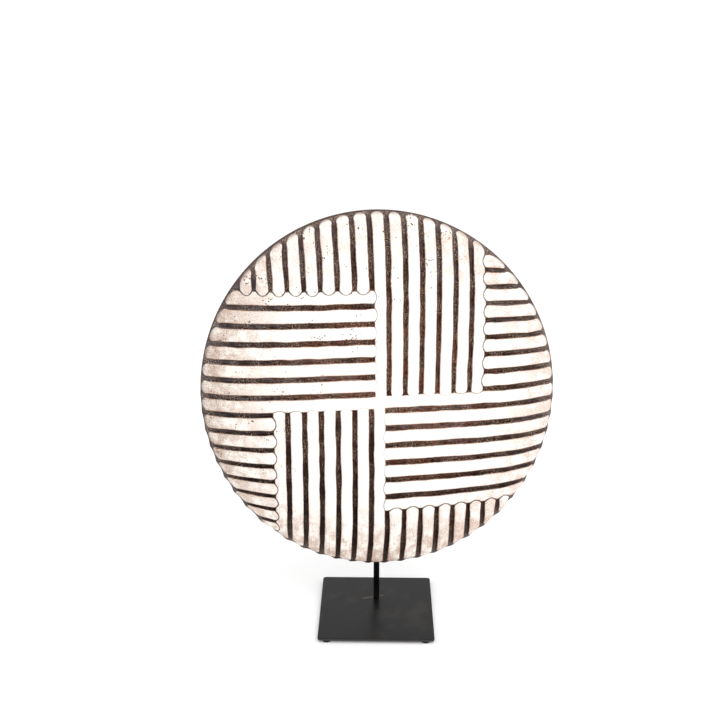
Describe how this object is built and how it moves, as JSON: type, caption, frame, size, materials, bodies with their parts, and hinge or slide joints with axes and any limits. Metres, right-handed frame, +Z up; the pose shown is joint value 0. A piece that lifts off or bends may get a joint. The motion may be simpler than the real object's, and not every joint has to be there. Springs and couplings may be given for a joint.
{
  "type": "round carved shield on a display stand",
  "caption": "Round domed wooden shield carved with half-round bars in a pinwheel, whitened, held upright by a rod on a steel base plate.",
  "frame": {"origin": "on the floor under the middle of the base plate, at the bottom of the foot pads", "axes": "+Z up; the shield's carved face looks along -Y, and +X is to the right as it is seen from the front"},
  "size_m": [0.4485, 0.16, 0.5382],
  "materials": {
    "carved_wood": "dark stained wood with rubbed white pigment on the raised bars",
    "black_steel": "satin black",
    "foot_rubber": "matt"
  },
  "bodies": {
    "root": {"shield": "carved_wood", "support_rod": "black_steel", "base_plate": "black_steel", "foot_pad_front_left": "foot_rubber", "foot_pad_front_right": "foot_rubber", "foot_pad_back_left": "foot_rubber", "foot_pad_back_right": "foot_rubber"}
  },
  "joints": []
}
